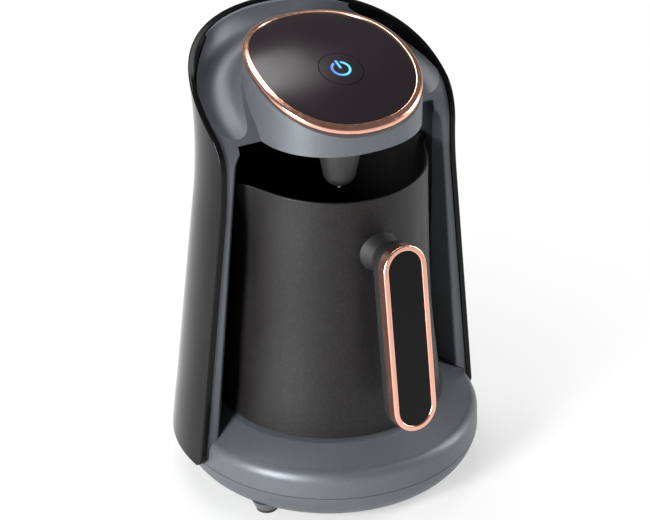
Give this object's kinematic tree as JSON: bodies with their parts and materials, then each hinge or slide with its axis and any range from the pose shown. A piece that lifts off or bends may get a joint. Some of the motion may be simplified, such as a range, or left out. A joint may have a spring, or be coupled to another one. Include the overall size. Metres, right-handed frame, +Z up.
{
  "type": "electric coffee pot machine",
  "caption": "Electric coffee maker for a small pot: round base with hot plate, C-shaped glossy column, domed head with push button, and a pot with side handle.",
  "frame": {"origin": "centre of the round base on the surface it stands on", "axes": "+Z up, -Y towards the user in front, +X to the right seen from the front"},
  "size_m": [0.1694, 0.1723, 0.2383],
  "materials": {
    "gunmetal": "satin metallic paint",
    "gloss_black": "high gloss",
    "gloss_panel": "high gloss, dark aubergine",
    "copper_trim": "polished rose copper plating",
    "pot_coating": "satin coating with fine sparkle",
    "black_plastic": "fine satin",
    "white_plastic": "plain",
    "black_rubber": "matt",
    "steel": "plain",
    "dark_plate": "dark satin",
    "ceramic_white": "glazed",
    "board_green": "solder mask",
    "blue_light": "lit light guide"
  },
  "bodies": {
    "root": {"base_pan": "gunmetal", "foot_pads": "black_rubber", "base_screws": "steel", "base_cover": "gunmetal", "heating_plate": "dark_plate", "heating_element": "steel", "plate_seat": "steel", "sensor_cup": "steel", "thermal_fuse": "ceramic_white", "sensor_spring": "steel", "power_board": "board_green", "board_posts": "black_plastic", "board_components": "black_plastic", "terminal_block": "white_plastic", "cord_inlet": "black_rubber", "outer_shell": "gloss_black", "front_bezel": "gunmetal", "cavity_liner": "black_plastic", "trim_ring": "copper_trim", "top_panel": "gloss_panel", "tact_switch": "black_plastic", "control_board": "board_green", "indicator_lamp": "blue_light", "buzzer": "black_plastic", "sensor_nose": "black_plastic", "sensor_pin": "steel"},
    "pot": {"pot_body": "pot_coating", "handle_frame": "copper_trim", "handle_insert": "gloss_black", "handle_back": "black_plastic", "handle_neck": "black_plastic"},
    "button": {"power_button": "gloss_panel", "power_symbol": "blue_light"},
    "sensor_cap": {"pot_sensor_cap": "steel"}
  },
  "joints": [
    {"name": "pot_slide", "type": "slide", "parent": "root", "child": "pot", "axis": [0, -1, 0], "range_m": [0, 0.15]},
    {"name": "button_press", "type": "slide", "parent": "root", "child": "button", "axis": [0, 0.3502, -0.9367], "range_m": [0, 0.0015], "stiffness_N_per_m": 600, "springref_m": -0.001},
    {"name": "sensor_cap_press", "type": "slide", "parent": "root", "child": "sensor_cap", "axis": [0, 0, -1], "range_m": [0, 0.002], "stiffness_N_per_m": 300, "springref_m": -0.001, "deforming": ["sensor_spring"]}
  ]
}
